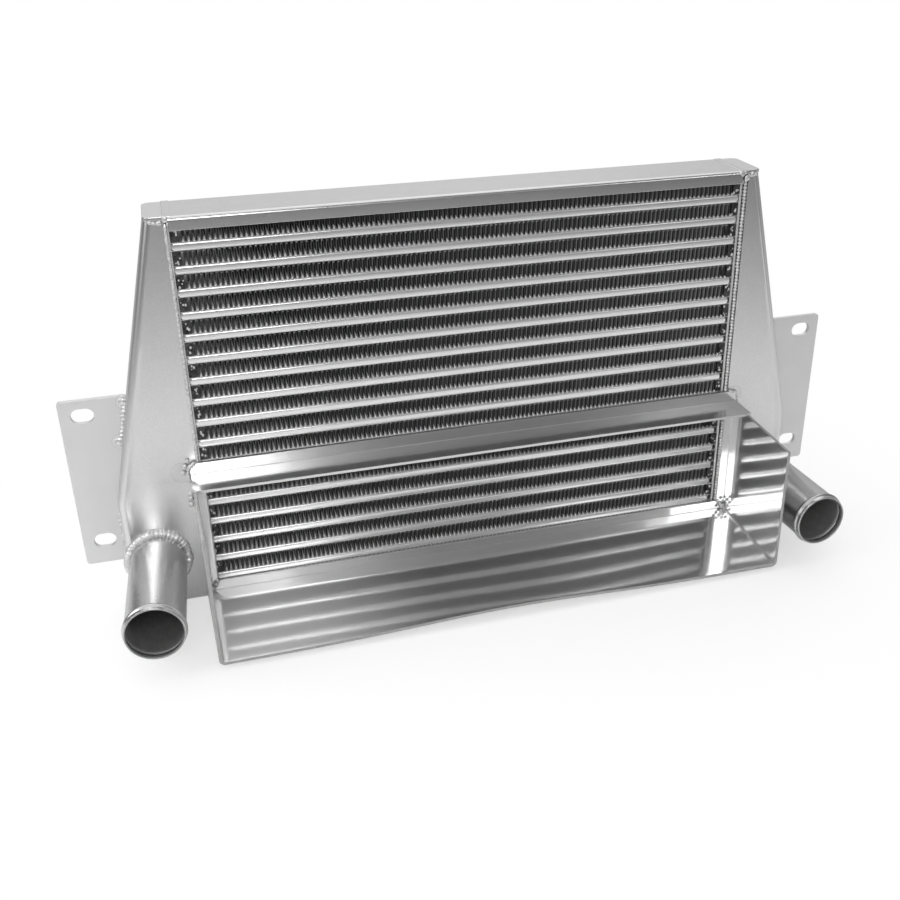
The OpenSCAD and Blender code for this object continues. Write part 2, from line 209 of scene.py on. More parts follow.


# Gives a finished mesh its object, material and body. Edges turn sharp above the angle
def addPiece(name, bm, material, replaced=(), sharpAngle=35, flat=False):
    bmesh.ops.recalc_face_normals(bm, faces=bm.faces)
    for edge in bm.edges:
        edge.smooth = edge.calc_face_angle(math.pi) < math.radians(sharpAngle)
    for face in bm.faces:
        face.smooth = True
    mesh = bpy.data.meshes.new(name)
    bm.to_mesh(mesh)
    bm.free()
    mesh.materials.append(material)
    piece = bpy.data.objects.new(name, mesh)
    bpy.context.scene.collection.objects.link(piece)
    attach(piece, "root")
    if replaced:
        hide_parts(*replaced)
    if flat:                   # keeps large faces flat beside small rounded rims
        weigh = piece.modifiers.new("flatFaces", "WEIGHTED_NORMAL")
        weigh.keep_sharp = True
    return piece


# Points of an arc in the plane of two axes, from one angle to another in degrees
def arc(center, radius, start, end, steps=8):
    angles = [math.radians(start + (end - start) * i / steps) for i in range(steps + 1)]
    return [(center[0] + radius * math.cos(a), center[1] + radius * math.sin(a)) for a in angles]


# Joins points with edges, and closes the line if asked
def addWire(bm, points, closed=False):
    verts = [bm.verts.new(p) for p in points]
    edges = [bm.edges.new(pair) for pair in zip(verts, verts[1:])]
    if closed:
        edges.append(bm.edges.new((verts[-1], verts[0])))
    return edges


# Pulls edges along a vector in equal steps and returns the last row of edges
def pullEdges(bm, edges, vector, steps=1):
    for _ in range(steps):
        made = bmesh.ops.extrude_edge_only(bm, edges=edges)["geom"]
        verts = [g for g in made if isinstance(g, bmesh.types.BMVert)]
        bmesh.ops.translate(bm, verts=verts, vec=Vector(vector) / steps)
        edges = [g for g in made if isinstance(g, bmesh.types.BMEdge)
                 and all(v in verts for v in g.verts)]
    return edges


# Swings edges round an axis, as a bend, and returns the last row of edges
def bendEdges(bm, edges, center, axis, angle, steps=6):
    verts = list({v for e in edges for v in e.verts})
    made = bmesh.ops.spin(bm, geom=verts + edges, cent=center, axis=axis,
                          angle=math.radians(angle), steps=steps)["geom_last"]
    return [g for g in made if isinstance(g, bmesh.types.BMEdge)]


# Gives an open sheet its thickness, away from the point
def thicken(bm, thickness, outsidePoint):
    bmesh.ops.remove_doubles(bm, verts=bm.verts, dist=1e-6)
    bmesh.ops.recalc_face_normals(bm, faces=bm.faces)
    outside = Vector(outsidePoint)
    probe = min(bm.faces, key=lambda f: (f.calc_center_median() - outside).length)
    if (outside - probe.calc_center_median()).dot(probe.normal) < 0:
        bmesh.ops.reverse_faces(bm, faces=bm.faces)
    bmesh.ops.solidify(bm, geom=bm.faces, thickness=thickness)


# A box between two corners with its edges rounded
def roundedBox(bm, low, high, radius, segments=3, endRadius=0):
    low, high = Vector(low), Vector(high)
    made = bmesh.ops.create_cube(bm, size=1)["verts"]
    bmesh.ops.scale(bm, verts=made, vec=high - low)
    bmesh.ops.translate(bm, verts=made, vec=(low + high) / 2)
    edges = list({e for v in made for e in v.link_edges})
    if endRadius:              # first the ends of a bar, then all round
        ends = [e for e in edges if abs(e.verts[0].co.y - e.verts[1].co.y) > 1e-4]
        made = bmesh.ops.bevel(bm, geom=ends, offset=endRadius, segments=5, profile=0.5,
                               affect="EDGES", material=-1)["verts"]
        grown = set(made) | {v for v in bm.verts if v.is_valid and any(
            e.other_vert(v) in made for e in v.link_edges)}
        edges = list({e for v in grown for e in v.link_edges
                      if e.calc_face_angle(0) > math.radians(60)})
    bmesh.ops.bevel(bm, geom=edges, offset=radius, segments=segments, profile=0.5,
                    affect="EDGES", material=-1)


# Rounds the rims of a flat plate: every edge between faces that meet at a right angle
def roundRims(bm, radius, segments=2):
    rims = [e for e in bm.edges if e.calc_face_angle(0) > math.radians(60)]
    bmesh.ops.bevel(bm, geom=rims, offset=radius, segments=segments, profile=0.5,
                    affect="EDGES", material=-1)


core = {
    "barRound": 1.5 * mm,      # rounding of the tube bars' long edges, braze fillets with them
    "barEnd": 2.6 * mm,        # rounding of their ends
    "tubeGap": 5.5 * mm,       # height inside a tube
    "sheetSetback": 0.9 * mm,  # parting sheets stand behind the bars' crowns
    "barGap": 0.1 * mm,        # between a bar and the rows above and below
    "barsTo": (-225.0 * mm, 224.2 * mm),    # ends of the bars
    "barsStagger": 3.0 * mm,   # the lowest bar ends this much short of the highest
    "finPitch": 3.75 * mm,
    "finSheet": 0.26 * mm,
    "finForward": 1.4 * mm,    # the folds reach the bars' faces
    "finSlack": 0.22 * mm,     # how far a fold strays from its even place
    "finCrush": 2.5,           # and this many times more at the ends of a row
    "finCrushWidth": 14 * mm,
    # one wave: share of the pitch, share of half the height
    "finWave": ((0.01, 0.8), (0.07, 1), (0.41, 1), (0.47, 0.8),
                (0.53, -0.8), (0.58, -1), (0.92, -1), (0.98, -0.8)),
    "filletDepth": 3.2 * mm,   # braze fills the folds, and slopes off to the faces
    "filletRise": 1.7 * mm,
}


# One row of folded fins, the folds along the y axis
def finRow(name, seed):
    low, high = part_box(name)
    front, back = low.y - core["finForward"], high.y + core["finForward"]
    waves = round((high.x - low.x) / core["finPitch"])
    pitch = (high.x - low.x - core["finSheet"]) / waves
    half = (high.z - low.z - core["finSheet"]) / 2
    middle = (high.z + low.z) / 2
    points = []
    for wave in range(waves):
        for share, level in core["finWave"]:
            x = low.x + core["finSheet"] / 2 + (wave + share) * pitch
            place = Vector((x * 160, seed * 7.3, level * 0.3))
            crush = 1 + core["finCrush"] * max(0, 1 - (high.x - abs(x)) / core["finCrushWidth"])
            x += core["finSlack"] * crush * noise.noise(place)
            points.append((x, front, middle + half * level))
    bm = bmesh.new()
    slope = core["filletDepth"]
    edges = pullEdges(bm, addWire(bm, points), (0, slope, 0))
    edges = pullEdges(bm, edges, (0, back - front - 2 * slope, 0))
    pullEdges(bm, edges, (0, slope, 0))
    for vert in bm.verts:
        inside = front + 0.5 * slope < vert.co.y < back - 0.5 * slope
        if inside and abs(vert.co.z - middle) > 0.95 * half:
            vert.co.z -= math.copysign(core["filletRise"], vert.co.z - middle)
    thicken(bm, core["finSheet"], (0, front, high.z + 1))
    return addPiece(name + "_folds", bm, finStock, [name], 50)


for row in range(1, 19):
    finRow(f"fin_row_{row:02d}", row)
print("fins folded")


# The stack's levels come from the rows of fins: a tube lies between each two rows
rowBoxes = [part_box(f"fin_row_{row:02d}") for row in range(1, 19)]
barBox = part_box("front_tube_bars")
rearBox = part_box("rear_tube_bars")
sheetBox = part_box("parting_sheets")
sheetThick = (rowBoxes[1][0].z - rowBoxes[0][1].z - core["tubeGap"]) / 2


def tubeBars(name, box, rounding):
    bm = bmesh.new()
    for under, over in zip(rowBoxes, rowBoxes[1:]):
        short = core["barsStagger"] * (1 - under[1].z / rowBoxes[-1][1].z)
        low = (core["barsTo"][0], box[0].y, under[1].z + core["barGap"])
        high = (core["barsTo"][1] - short, box[1].y, over[0].z - core["barGap"])
        roundedBox(bm, low, high, rounding, 4, core["barEnd"])
    return addPiece(name + "_rounded", bm, barStock, [name], 50)


tubeBars("front_tube_bars", barBox, core["barRound"])
tubeBars("rear_tube_bars", rearBox, core["barRound"])

bm = bmesh.new()
for under, over in zip(rowBoxes, rowBoxes[1:]):
    for bottom in (under[1].z, over[0].z - sheetThick):
        inset = core["sheetSetback"]
        roundedBox(bm, (sheetBox[0].x, sheetBox[0].y + inset, bottom),
                   (sheetBox[1].x, sheetBox[1].y - inset, bottom + sheetThick), 0.15 * mm, 1)
addPiece("parting_sheets_brazed", bm, brazedSheet, ["parting_sheets"])

# CAD nodes whose shape is right keep it and get their finish
keptNodes = {
    # the header bars take the dark painted shade
    "left_header_bars": paintedShadeMetal,
    "right_header_bars": paintedShadeMetal,
    "core_top_plate": barStock,
    "core_bottom_plate": barStock,
    "charge_turbulators": finStock,
}
for node, material in keptNodes.items():
    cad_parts[node].data.materials.clear()
    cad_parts[node].data.materials.append(material)
print("core built")


channel = {"thickness": 2.5 * mm, "bend": 3.0 * mm, "rim": 0.3 * mm}


# The folded channel over the core, its bends as true arcs
def topChannel():
    low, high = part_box("top_channel")
    bend = channel["bend"]
    outline = ([(high.y, low.z)] + arc((high.y - bend, high.z - bend), bend, 0, 90)
               + arc((low.y + bend, high.z - bend), bend, 90, 180) + [(low.y, low.z)])
    bm = bmesh.new()
    edges = addWire(bm, [(low.x, y, z) for y, z in outline])
    pullEdges(bm, edges, (high.x - low.x, 0, 0), 24)
    thicken(bm, channel["thickness"], (0, 0, 1))
    roundRims(bm, channel["rim"])
    addPiece("top_channel_folded", bm, channelSheet, ["top_channel"], flat=True)


topChannel()

tank = {
    "thickness": 3.0 * mm,
    "bend": 5.5 * mm,
    "upright": 96.5 * mm,     # below this level the outer wall stands upright
    "topWidth": 16.6 * mm,
    "seam": {"left": 2.6 * mm, "right": 6.4 * mm},    # gap that the weld beside the core fills
    "bulge": 0.1 * mm,        # how far welding has pushed the lower front face out
    "bulgeAt": (76 * mm, 24 * mm),    # its height and reach
    "dent": 0.25 * mm,        # hollow along the fold, just over the upright's top
    "dentAt": (105.5 * mm, 3 * mm),
    "flatEdge": 12 * mm,      # both fade out toward the face's edges
    "faceWidth": 60 * mm,
    "step": 0.35 * mm,        # the face lies this much behind the crown of the bend
    "pipeHole": 21.0 * mm,
    "capRim": 0.6 * mm,
}
pipe = {
    "radius": 22.25 * mm,
    "wall": 1.5 * mm,
    "length": 103.5 * mm,
    "splay": 2.9,             # degrees
    "height": 42.75 * mm,
    "out": 267.7 * mm,
    "beadHeight": 1.2 * mm,
    "beadRadius": 3.0 * mm,
    "beadSetback": 5.0 * mm,
    "lip": 0.5 * mm,
    "sunk": 2.6 * mm,         # its foot stands this deep in the tank's wall
    "cutDepth": 24 * mm,
}


# The front face is not flat: it swells over the pipe and dips along the fold
def faceLift(across, height):
    (bulgeHeight, bulgeReach), (dentHeight, dentReach) = tank["bulgeAt"], tank["dentAt"]
    swell = tank["bulge"] * math.exp(-((height - bulgeHeight) / bulgeReach) ** 2)
    fold = -tank["dent"] * math.exp(-((height - dentHeight) / dentReach) ** 2)
    outer, inner = across / tank["flatEdge"], (tank["faceWidth"] - across) / tank["flatEdge"]
    edge = max(0, min(1, outer)) * max(0, min(1, inner))
    step = tank["step"] if across > tank["bend"] + 0.3 * mm else 0
    return (swell + fold) * edge - step


def tankShell(side):
    sign = sides[side]
    name = side + "_tank_shell"
    low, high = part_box(name)
    gap = tank["seam"][side]
    inner = min(abs(low.x), abs(high.x)) + gap
    outer = max(abs(low.x), abs(high.x))
    bend = tank["bend"]
    outline = ([(inner, low.y)] + arc((outer - bend, low.y + bend), bend, -90, 0)
               + arc((outer - bend, high.y - bend), bend, 0, 90) + [(inner, high.y)])
    bm = bmesh.new()
    edges = addWire(bm, [(x, y, low.z) for x, y in outline])
    edges = pullEdges(bm, edges, (0, 0, tank["upright"] - low.z), 20)
    pullEdges(bm, edges, (0, 0, high.z - tank["upright"]), 48)
    columns = [inner + (outer - bend - 1 * mm - inner) * column / 12 for column in range(1, 13)]
    for x in columns:
        bmesh.ops.bisect_plane(bm, geom=bm.verts[:] + bm.edges[:] + bm.faces[:],
                               plane_co=(x, 0, 0), plane_no=(1, 0, 0))
    lean = (outer - inner + gap - tank["topWidth"]) / (high.z - tank["upright"])
    for vert in bm.verts:
        flat = outer - bend - inner
        part = min(1, (vert.co.x - inner) / flat)
        rise = max(0, vert.co.z - tank["upright"])
        if vert.co.y < low.y + 0.1 * mm:
            vert.co.y -= faceLift(outer - vert.co.x, vert.co.z)
        vert.co.x -= rise * lean * part
    for vert in bm.verts:
        vert.co.x *= sign
    thicken(bm, tank["thickness"], (sign, 0, 0.1))
    piece = addPiece(name + "_folded", bm, tankSheet, [name])
    cutHole(piece, side)


# Direction of a hose pipe, away from the tank
def pipeDirection(side):
    angle = math.radians(pipe["splay"])
    return Vector((sides[side] * math.sin(angle), -math.cos(angle), 0))


def pipeFoot(side):
    low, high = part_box(side + "_tank_shell")
    return Vector((sides[side] * pipe["out"], low.y, pipe["height"]))


# Turns a shape made round the z axis onto the pipe's axis
def ontoPipe(bm, side):
    turn = Vector((0, 0, 1)).rotation_difference(pipeDirection(side)).to_matrix().to_4x4()
    bmesh.ops.transform(bm, matrix=Matrix.Translation(pipeFoot(side)) @ turn, verts=bm.verts)


# Takes the pipe's bore out of a piece
def cutHole(piece, side):
    bm = bmesh.new()
    bmesh.ops.create_cone(bm, cap_ends=True, segments=64, radius1=tank["pipeHole"],
                          radius2=tank["pipeHole"], depth=pipe["cutDepth"])
    ontoPipe(bm, side)
    mesh = bpy.data.meshes.new("bore")
    bm.to_mesh(mesh)
    bm.free()
    cutter = bpy.data.objects.new("bore", mesh)
    bpy.context.scene.collection.objects.link(cutter)
    cut = piece.modifiers.new("bore", "BOOLEAN")
    cut.object = cutter
    cut.operation = "DIFFERENCE"
    cut.solver = "EXACT"
    bpy.context.view_layer.update()
    graph = bpy.context.evaluated_depsgraph_get()
    result = bpy.data.meshes.new_from_object(piece.evaluated_get(graph))
    piece.modifiers.clear()
    piece.data = result
    bpy.data.objects.remove(cutter)


# A tube with a rolled bead near its mouth, spun round its axis
def hosePipe(side):
    outer, inner = pipe["radius"], pipe["radius"] - pipe["wall"]
    end, bead = pipe["length"], pipe["length"] - pipe["beadSetback"]
    start = -pipe["sunk"]
    reach, lip = pipe["beadRadius"], pipe["lip"]
    bump = [(bead + reach * 0.9 * t, pipe["beadHeight"] * (0.5 + 0.5 * math.cos(t * math.pi)))
            for t in [i / 6 - 1 for i in range(13)]]
    outline = [(start, outer)] + [(s, outer + h) for s, h in bump]
    outline += [(end - lip, outer)] + arc((end - lip, outer - lip), lip, 90, 0, 3)
    outline += arc((end - lip, inner + lip), lip, 0, -90, 3)
    outline += [(s, inner + h) for s, h in reversed(bump)] + [(start, inner)]
    bm = bmesh.new()
    addWire(bm, [(r, 0, s) for s, r in outline])
    bmesh.ops.spin(bm, geom=bm.verts[:] + bm.edges[:], cent=(0, 0, 0), axis=(0, 0, 1),
                   angle=math.tau, steps=96, use_merge=True)
    bmesh.ops.remove_doubles(bm, verts=bm.verts, dist=1e-6)
    ontoPipe(bm, side)
    openEdges = [e for e in bm.edges if len(e.link_faces) == 1]
    bmesh.ops.bridge_loops(bm, edges=openEdges)
    name = side + "_hose_pipe"
    axis, foot = pipeDirection(side), pipeFoot(side)
    # the bore gets the darker finish, painted shade inside the tube
    for face in bm.faces:      # the bore gets its own finish
        arm = face.calc_center_median() - foot
        face.material_index = int((arm - axis * arm.dot(axis)).length < outer - pipe["wall"] / 2)
    piece = addPiece(name + "_spun", bm, tubeStock, [name])
    piece.data.materials.append(shadedTubeBore)


def tankCap(side, level):
    name = f"{side}_tank_{level}_cap"
    low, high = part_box(name)
    bm = bmesh.new()
    bmesh.ops.create_cube(bm, size=1)
    bmesh.ops.scale(bm, verts=bm.verts, vec=high - low)
    bmesh.ops.translate(bm, verts=bm.verts, vec=(low + high) / 2)
    sign = sides[side]
    corners = [e for e in bm.edges if abs(e.verts[0].co.z - e.verts[1].co.z) > 1 * mm
               and sign * e.verts[0].co.x > sign * (low.x + high.x) / 2]
    bmesh.ops.bevel(bm, geom=corners, offset=tank["bend"], segments=8, profile=0.5,
                    affect="EDGES", material=-1)
    roundRims(bm, tank["capRim"])
    addPiece(name + "_welded", bm, tankSheet, [name], flat=True)


for side in sides:
    tankShell(side)
    hosePipe(side)
    tankCap(side, "top")
    tankCap(side, "bottom")
print("tanks built")


mount = {
    "cornerRadius": 3.0 * mm,
    "slotSize": (17 * mm, 12 * mm),
    "slotOut": 306.7 * mm,
    "slotHeights": (58.6 * mm, 168.6 * mm),
    "rim": 0.4 * mm,
}


# Closed outline of a rectangle with rounded corners, as edges in the plane y = back
def roundedRectangle(bm, center, size, radius, back):
    x, z = size[0] / 2 - radius, size[1] / 2 - radius
    points = []
    for signX, signZ, start in ((1, 1, 0), (-1, 1, 90), (-1, -1, 180), (1, -1, 270)):
        points += arc((center[0] + signX * x, center[1] + signZ * z), radius, start, start + 90)
    return addWire(bm, [(x, back, z) for x, z in points], closed=True)


def mountPlate(side):
    name = side + "_mount_plate"
    low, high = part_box(name)
    bm = bmesh.new()
    edges = roundedRectangle(bm, ((low.x + high.x) / 2, (low.z + high.z) / 2),
                             (high.x - low.x, high.z - low.z), mount["cornerRadius"], high.y)
    slotRadius = mount["slotSize"][1] / 2 - 0.01 * mm      # just under half, so no point is double
    for height in mount["slotHeights"]:
        edges += roundedRectangle(bm, (sides[side] * mount["slotOut"], height),
                                  mount["slotSize"], slotRadius, high.y)
    bmesh.ops.remove_doubles(bm, verts=bm.verts, dist=1e-6)
    bmesh.ops.triangle_fill(bm, edges=bm.edges, use_beauty=True, normal=(0, -1, 0))
    made = bmesh.ops.extrude_face_region(bm, geom=bm.faces[:])["geom"]
    verts = [g for g in made if isinstance(g, bmesh.types.BMVert)]
    bmesh.ops.translate(bm, verts=verts, vec=(0, low.y - high.y, 0))
    bmesh.ops.recalc_face_normals(bm, faces=bm.faces)
    roundRims(bm, mount["rim"])
    addPiece(name + "_slotted", bm, plateSheet, [name], flat=True)


for side in sides:
    mountPlate(side)
print("mounting plates built")


duct = {
    "thickness": 2.5 * mm,
    "bend": 4.4 * mm,
    "flangeBend": 3.0 * mm,
    "sideFlange": 10 * mm,
    "floorFlange": 10.8 * mm,
    "bow": 5.4 * mm,          # lift of the floor's front edge
    "bowWidth": 106 * mm,
    "converge": 3.0 * mm,     # each wall's front edge stands this much further in
    "stripCorner": 7.0 * mm,  # rounding of the strip's left corners
    "shelfBend": 3.0 * mm,
    "rim": 0.3 * mm,
    "columns": 48,            # the floor bends in this many steps
}


def ductTray():
    low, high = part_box("duct_tray")
    bend, flangeBend = duct["bend"], duct["flangeBend"]
    back, front = high.y, low.y
    start = back - flangeBend
    outline = ([(low.x, high.z)] + arc((low.x + bend, low.z + bend), bend, 180, 270)
               + arc((high.x - bend, low.z + bend), bend, 270, 360) + [(high.x, high.z)])
    bm = bmesh.new()
    edges = addWire(bm, [(x, start, z) for x, z in outline])
    backEdges = {"left": edges[0], "right": edges[-1],
                 "floor": max(edges[1:-1], key=lambda e: e.calc_length())}
    pullEdges(bm, edges, (0, front - start, 0), 16)
    # The flanges swing off the walls, and leave the corners to the weld
    swings = (("left", (low.x + flangeBend, start, 0), (0, 0, -1), (1, 0, 0), duct["sideFlange"]),
              ("right", (high.x - flangeBend, start, 0), (0, 0, 1), (-1, 0, 0), duct["sideFlange"]),
              ("floor", (0, start, low.z + flangeBend), (1, 0, 0), (0, 0, 1), duct["floorFlange"]))
    for wall, center, axis, along, width in swings:
        last = bendEdges(bm, [backEdges[wall]], center, axis, 90)
        pullEdges(bm, last, Vector(along) * (width - flangeBend))
    for column in range(1, duct["columns"]):
        x = low.x + (high.x - low.x) * column / duct["columns"]
        bmesh.ops.bisect_plane(bm, geom=bm.verts[:] + bm.edges[:] + bm.faces[:],
                               plane_co=(x, 0, 0), plane_no=(1, 0, 0))
    thicken(bm, duct["thickness"], (0, -0.07, -0.1))
    middle = (low.x + high.x) / 2
    for vert in bm.verts:
        if vert.co.z < low.z + duct["thickness"] + 0.1 * mm:
            shape = math.exp(-((vert.co.x - middle) / duct["bowWidth"]) ** 2)
            vert.co.z += duct["bow"] * shape * (start - vert.co.y) / (start - front)
        reach = max(0, (start - vert.co.y) / (start - front))
        vert.co.x -= (vert.co.x - middle) / (high.x - middle) * duct["converge"] * reach
    roundRims(bm, duct["rim"])
    bm.normal_update()
    for face in bm.faces:      # the front and top edges of the sheet
        place, normal = face.calc_center_median(), face.normal
        cut = (normal.y < -0.6 and place.y < front + 1 * mm
               or normal.z > 0.6 and place.z > high.z - 1 * mm)
        face.material_index = int(cut)
    piece = addPiece("duct_tray_folded", bm, ductSheet, ["duct_tray"], flat=True)
    piece.data.materials.append(cutEdge)


def ductStrip():
    low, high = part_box("duct_top_strip")
    bend = duct["shelfBend"]
    outline = ([(high.y, high.z)] + arc((high.y - bend, low.z + bend), bend, 0, -90)
               + [(low.y, low.z)])
    bm = bmesh.new()
    edges = addWire(bm, [(low.x, y, z) for y, z in outline])
    pullEdges(bm, edges, (high.x - low.x, 0, 0), 32)
    thicken(bm, duct["thickness"], (0, 0, -1))
    corners = [e for e in bm.edges if max(v.co.x for v in e.verts) < low.x + 0.1 * mm
               and abs(e.calc_length() - duct["thickness"]) < 0.1 * mm
               and (min(v.co.z for v in e.verts) > high.z - 0.1 * mm
                    or max(v.co.y for v in e.verts) < low.y + 0.1 * mm)]
    bmesh.ops.bevel(bm, geom=corners, offset=duct["stripCorner"], segments=6, profile=0.5,
                    affect="EDGES", material=-1)
    roundRims(bm, duct["rim"])
    addPiece("duct_top_strip_folded", bm, stripSheet, ["duct_top_strip"], flat=True)


ductTray()
ductStrip()
print("duct built")


# A bead of weld metal along a line: its radius rises and falls with each ripple, by a share of
# depth, and its middle strays by a share of wander
def weldBead(name, points, radius, ripple=2.6 * mm, depth=0.22, wander=0.15, closed=False,
             seed=1, stretch=None, material=None):
    line = [Vector(p) for p in points]
    if closed:
        line.append(line[0])
    lengths = [(b - a).length for a, b in zip(line, line[1:])]
    total = sum(lengths)
    count = max(8, round(total / (ripple / 6)))
    data = bpy.data.curves.new(name, "CURVE")
    data.dimensions = "3D"
    data.bevel_depth = radius
    data.bevel_resolution = 2
    data.use_fill_caps = True
    spline = data.splines.new("POLY")
    spline.points.add(count - 1)
    shift = seed * 3.7
    noise.seed_set(seed)       # noise_vector would start from the clock without it
    part, passed = 0, 0
    for i, point in enumerate(spline.points):
        at = total * i / (count if closed else count - 1)
        while part < len(lengths) - 1 and at > passed + lengths[part]:
            passed += lengths[part]
            part += 1
        place = line[part].lerp(line[part + 1], (at - passed) / lengths[part])
        stray = noise.noise_vector(Vector((at * 180, shift, 0))) * radius * wander
        wave = 1 - depth * abs(math.cos(at / ripple * math.pi)) ** 5
        uneven = 1 + 0.2 * noise.noise(Vector((at * 120, shift, 5)))
        tip = 1 if closed else min(1, 0.35 + min(at, total - at) / (1.5 * radius))
        point.co = (*(place + stray), 1)
        point.radius = wave * uneven * tip
    spline.use_cyclic_u = closed
    curve = bpy.data.objects.new(name, data)
    bpy.context.scene.collection.objects.link(curve)
    bpy.context.view_layer.update()
    mesh = bpy.data.meshes.new_from_object(curve)
    bpy.data.objects.remove(curve)
    bm = bmesh.new()
    bm.from_mesh(mesh)
    bmesh.ops.remove_doubles(bm, verts=bm.verts, dist=1e-7)
    if stretch:                # wider or flatter about its middle
        middle = sum(line, Vector()) / len(line)
        bmesh.ops.scale(bm, verts=bm.verts, vec=stretch, space=Matrix.Translation(-middle))
    return addPiece(name, bm, material or weldMetal, sharpAngle=60)


# Drops of weld metal or braze: each a flattened ball at a place, (place, radius)
def drops(name, places, material, squeeze=(1, 0.5, 1)):
    bm = bmesh.new()
    for place, radius in places:
        made = bmesh.ops.create_uvsphere(bm, u_segments=10, v_segments=6, radius=radius)["verts"]
        bmesh.ops.scale(bm, verts=made, vec=squeeze)
        bmesh.ops.translate(bm, verts=made, vec=place)
    return addPiece(name, bm, material, sharpAngle=80)


weld = {
    "seamEnds": (3 * mm, 5 * mm),     # how far a seam stays from the core's foot and top
    "braze": {"ends": (1 * mm, 3 * mm), "thickness": 2 * mm, "rim": 0.4 * mm},
    "grains": {"across": (219.5, 223.5), "radius": (0.4, 1.0), "edge": 1, "forward": 0.9,
               "count": (3, 5)},      # in mm, for each row of fins
    # between channel and cap: from, to, height over the top, and how far it stands out
    "ridge": {"across": (222.5 * mm, 228.5 * mm), "height": 0.4 * mm, "out": 0.6 * mm},
    "cap": {"across": (239 * mm, 229 * mm), "down": (3.4 * mm, 5.0 * mm), "radius": 1.4 * mm},
    "pipe": {"radius": 3.6 * mm, "out": 1.3 * mm, "forward": 0.6 * mm},
    # the plate is stitched to the tank above and below: heights and radius in mm
    "stitches": {"top": ((144, 160, 178), 2.2), "low": ((42, 62, 84), 1.6)},
    "stitchOut": 0.8 * mm,
    "stitchFront": -8.2 * mm,
    # the duct's side flanges are welded to the tanks along their free edges
    "flange": {"left": -224.2 * mm, "right": 229.3 * mm, "front": -24.0 * mm,
               "heights": (15 * mm, 111 * mm), "radius": 0.8 * mm},
}
# Beside the core: the bead's line, its radius, ripple and depth, and behind it a strip of clean
# braze and a dark strip of painted shade in the groove
seams = {
    "left": {"line": 227.2 * mm, "radius": 1.5 * mm, "ripple": 4.2 * mm, "depth": 0.25,
             "strip": (224.9 * mm, 226.0 * mm), "shadeStrip": (226 * mm, 229 * mm)},
    "right": {"line": 228.8 * mm, "radius": 1.8 * mm, "ripple": 2.9 * mm, "depth": 0.62,
              "strip": (224.6 * mm, 226.6 * mm), "shadeStrip": (226.6 * mm, 231.6 * mm)},
}
# the dark strip behind each seam is painted shade
seamFinish = {"strip": (brazedSheet, 0.3 * mm), "shadeStrip": (paintedShadeMetal, 1.1 * mm)}     # and setback
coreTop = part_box("top_channel")[1].z
shellLow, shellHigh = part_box("right_tank_shell")


# Outer wall of a tank at a height
def wallOut(side, height):
    lean = (shellHigh.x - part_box("right_tank_top_cap")[1].x) / (shellHigh.z - tank["upright"])
    return sides[side] * (shellHigh.x - max(0, height - tank["upright"]) * lean)


# The seam along the core's corner, on the front or the rear
def coreSeam(side, y, out, seed):
    sign, values = sides[side], seams[side]
    tag = side + ("_front" if out < 0 else "_rear")
    line = sign * values["line"]
    low, high = weld["seamEnds"][0], coreTop - weld["seamEnds"][1]
    weldBead(f"weld_{tag}_seam", [(line, y, low), (line, y, high)], values["radius"],
             ripple=values["ripple"], depth=values["depth"], seed=seed)
    braze = weld["braze"]
    low, high = braze["ends"][0], coreTop - braze["ends"][1]
    for part, (material, setback) in seamFinish.items():
        ends = sorted(sign * x for x in values[part])
        depths = sorted((y - out * setback, y - out * (setback + braze["thickness"])))
        bm = bmesh.new()
        roundedBox(bm, (ends[0], depths[0], low), (ends[1], depths[1], high), braze["rim"], 2)
        addPiece(f"braze_{tag}_{part}", bm, material)
    rng = random.Random(seed)
    grains = weld["grains"]
    edge = grains["edge"] * mm
    places = [((sign * rng.uniform(*grains["across"]) * mm, y - out * grains["forward"] * mm,
                rng.uniform(low.z + edge, high.z - edge)), rng.uniform(*grains["radius"]) * mm)
              for low, high in rowBoxes for _ in range(rng.randint(*grains["count"]))]
    drops(f"braze_{tag}_grains", places, brazedSheet, (1, 0.7, 1.3))


def capRidge(side):
    ridge = weld["ridge"]
    ends = sorted(sides[side] * x for x in ridge["across"])
    bm = bmesh.new()
    roundedBox(bm, (ends[0], shellLow.y - ridge["out"], coreTop - 1 * mm),
               (ends[1], shellHigh.y + ridge["out"], coreTop + ridge["height"]), 0.6 * mm, 3)
    addPiece(f"weld_{side}_ridge", bm, channelSheet, flat=True)


def pipeRing(side):
    values, foot = weld["pipe"], pipeFoot(side)
    reach = pipe["radius"] + values["out"]
    ring = [(foot.x + x, foot.y - values["forward"], foot.z + z)
            for x, z in arc((0, 0), reach, 0, 360, 90)[:-1]]
    weldBead(f"weld_{side}_pipe", ring, values["radius"], ripple=3.1 * mm, depth=0.11,
             wander=0.2, closed=True, seed=4, stretch=(1, 1.15, 1))


for seed, side in enumerate(sides):
    sign = sides[side]
    coreSeam(side, shellLow.y, -1, 3 + seed)
    coreSeam(side, shellHigh.y, 1, 7 + seed)
    capRidge(side)
    cap, flange = weld["cap"], weld["flange"]
    weldBead(f"weld_{side}_cap_front", [(sign * x, shellLow.y, coreTop - down)
                                        for x, down in zip(cap["across"], cap["down"])],
             cap["radius"], ripple=3.2 * mm, depth=0.3, seed=2)
    pipeRing(side)
    for level, (heights, radius) in weld["stitches"].items():
        stitch = [(wallOut(side, z * mm) + sign * weld["stitchOut"], weld["stitchFront"], z * mm)
                  for z in heights]
        weldBead(f"weld_{side}_plate_{level}", stitch, radius * mm, ripple=3.4 * mm, depth=0.45,
                 seed=6)
    weldBead(f"weld_{side}_flange", [(flange[side], flange["front"], z) for z in flange["heights"]],
             flange["radius"], ripple=2.2 * mm, depth=0.5, wander=0.3, seed=15)
